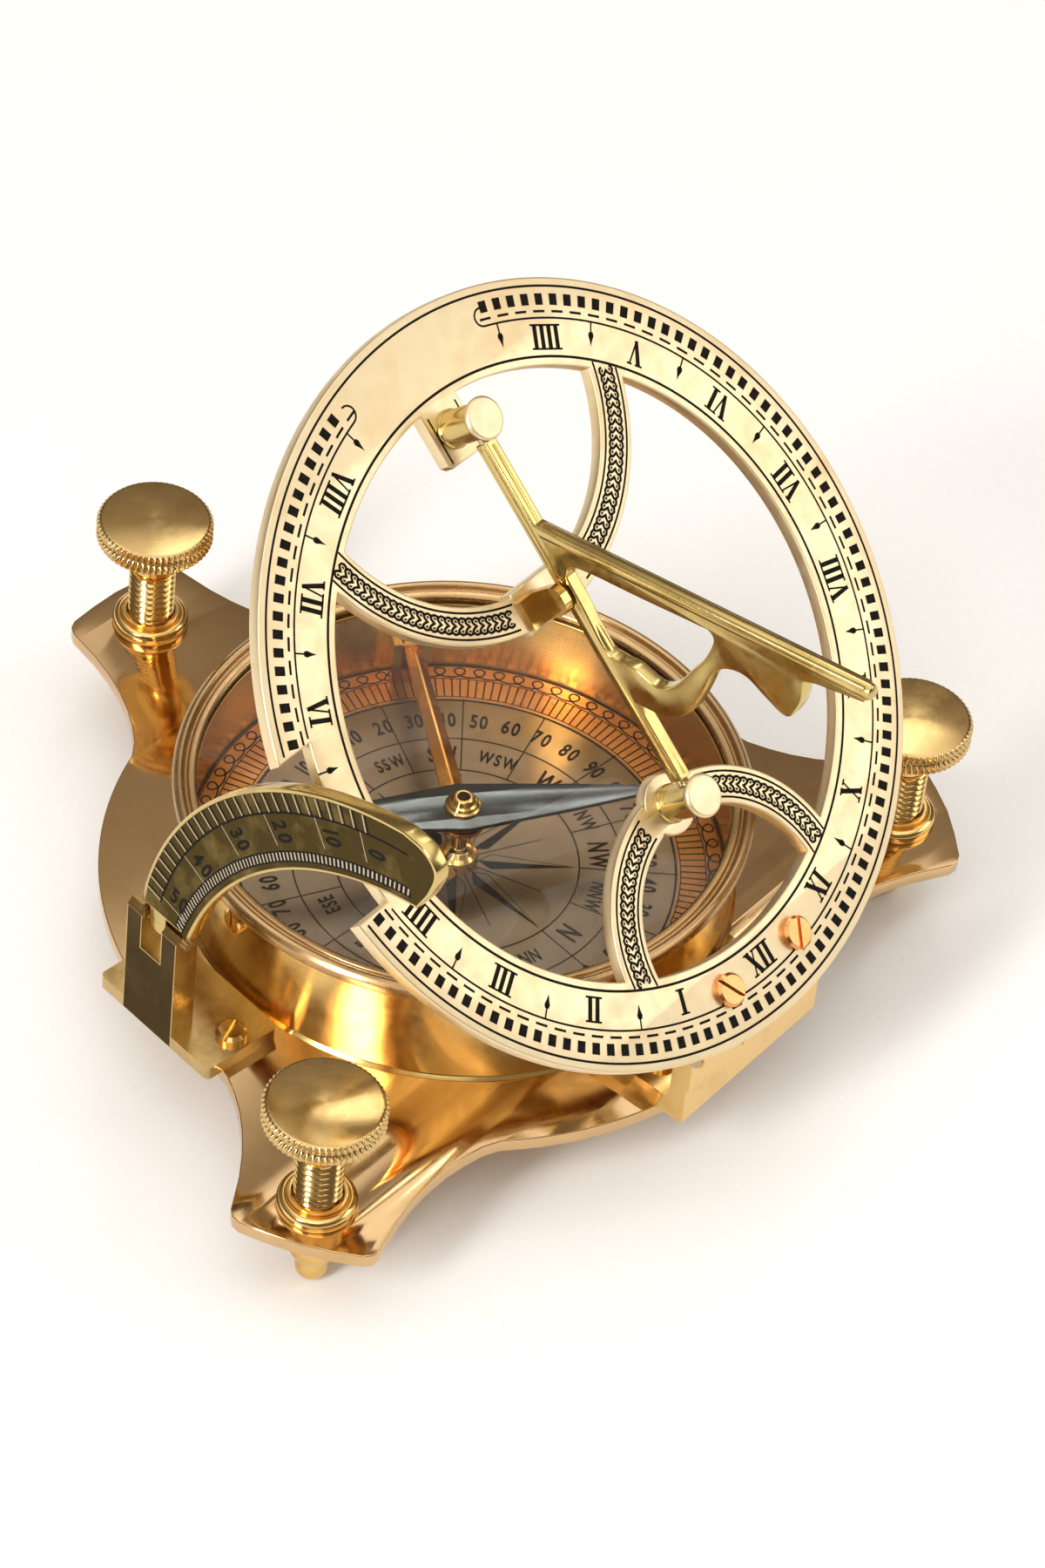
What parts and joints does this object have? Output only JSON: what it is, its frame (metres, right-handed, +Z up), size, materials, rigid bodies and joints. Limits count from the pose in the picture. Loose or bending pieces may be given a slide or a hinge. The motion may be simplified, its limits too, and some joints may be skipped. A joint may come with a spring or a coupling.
{
  "type": "equatorial sundial compass",
  "caption": "Brass equatorial sundial with a tilting hour ring, folding pierced gnomon, latitude arc and a glazed compass on a three-lobed levelling base.",
  "frame": {"origin": "on the compass axis at the underside of the base plate", "axes": "+Z up; +X along the hour-ring hinge; +Y along the noon line, away from the hinge"},
  "size_m": [0.1205, 0.1246, 0.0954],
  "materials": {
    "polished_brass": "polished",
    "satin_gold": "satin",
    "aged_brass": "satin",
    "orange_brass": "satin",
    "silvered_dial": "satin",
    "blued_steel": "satin",
    "clear_glass": "polished",
    "steel_pin": "polished"
  },
  "bodies": {
    "base": {"base_plate": "polished_brass", "levelling_collars": "polished_brass", "compass_case": "polished_brass", "case_bezel": "polished_brass", "compass_glass": "clear_glass", "dial_plate": "silvered_dial", "needle_pivot": "orange_brass", "lifter_mount": "orange_brass", "case_screw": "polished_brass", "hinge_bracket": "polished_brass", "hinge_bracket_screws": "polished_brass", "hinge_pin": "steel_pin", "latitude_bracket": "polished_brass", "latitude_bracket_screws": "polished_brass", "arc_pin": "steel_pin"},
    "needle": {"compass_needle": "blued_steel", "needle_cap": "polished_brass"},
    "lifter": {"needle_lifter": "orange_brass"},
    "ring": {"hour_ring": "satin_gold", "ring_hinge_leaf": "polished_brass", "ring_leaf_screws": "polished_brass", "gnomon_posts": "polished_brass", "gnomon_stop": "satin_gold"},
    "gnomon": {"gnomon_blade": "polished_brass", "gnomon_pins": "steel_pin"},
    "latitude": {"latitude_arc": "aged_brass"},
    "foot_1": {"levelling_foot_1": "polished_brass"},
    "leveller_1": {"levelling_screw_1": "polished_brass"},
    "foot_2": {"levelling_foot_2": "polished_brass"},
    "leveller_2": {"levelling_screw_2": "polished_brass"},
    "foot_3": {"levelling_foot_3": "polished_brass"},
    "leveller_3": {"levelling_screw_3": "polished_brass"}
  },
  "joints": [
    {"name": "foot_travel_1", "type": "slide", "parent": "base", "child": "foot_1", "axis": [0, 0, 1], "range_m": [-0.0025, 0.0025]},
    {"name": "leveller_turn_1", "type": "hinge", "parent": "foot_1", "child": "leveller_1", "pos_m": [0.00671, 0.05887, 0.01], "axis": [0, 0, 1], "range_deg": [-900, 900]},
    {"name": "foot_travel_2", "type": "slide", "parent": "base", "child": "foot_2", "axis": [0, 0, 1], "range_m": [-0.0025, 0.0025]},
    {"name": "leveller_turn_2", "type": "hinge", "parent": "foot_2", "child": "leveller_2", "pos_m": [-0.05434, -0.02363, 0.01], "axis": [0, 0, 1], "range_deg": [-900, 900]},
    {"name": "foot_travel_3", "type": "slide", "parent": "base", "child": "foot_3", "axis": [0, 0, 1], "range_m": [-0.0025, 0.0025]},
    {"name": "leveller_turn_3", "type": "hinge", "parent": "foot_3", "child": "leveller_3", "pos_m": [0.04763, -0.03524, 0.01], "axis": [0, 0, 1], "range_deg": [-900, 900]},
    {"name": "needle_spin", "type": "hinge", "parent": "base", "child": "needle", "pos_m": [0, 0, 0.0134], "axis": [0, 0, 1], "continuous": true},
    {"name": "lifter_tilt", "type": "hinge", "parent": "base", "child": "lifter", "pos_m": [0.01933, 0.02474, 0.0112], "axis": [-0.788, 0.6157, 0], "range_deg": [0, 0.9]},
    {"name": "ring_tilt", "type": "hinge", "parent": "base", "child": "ring", "pos_m": [0, -0.0485, 0.0145], "axis": [1, 0, 0], "range_deg": [-14, 46]},
    {"name": "gnomon_fold", "type": "hinge", "parent": "ring", "child": "gnomon", "pos_m": [0, -0.01532, 0.05788], "axis": [0, 0.7193, 0.6947], "range_deg": [0, 90]},
    {"name": "arc_fold", "type": "hinge", "parent": "base", "child": "latitude", "pos_m": [-0.04562, 0.01036, 0.0196], "axis": [0.1305, 0.9914, 0], "range_deg": [-90, 0]}
  ],
  "couplings": [
    {"joint": "leveller_turn_1", "follows": "foot_travel_1", "rad_per_m": 6283.2},
    {"joint": "leveller_turn_2", "follows": "foot_travel_2", "rad_per_m": 6283.2},
    {"joint": "leveller_turn_3", "follows": "foot_travel_3", "rad_per_m": 6283.2}
  ]
}
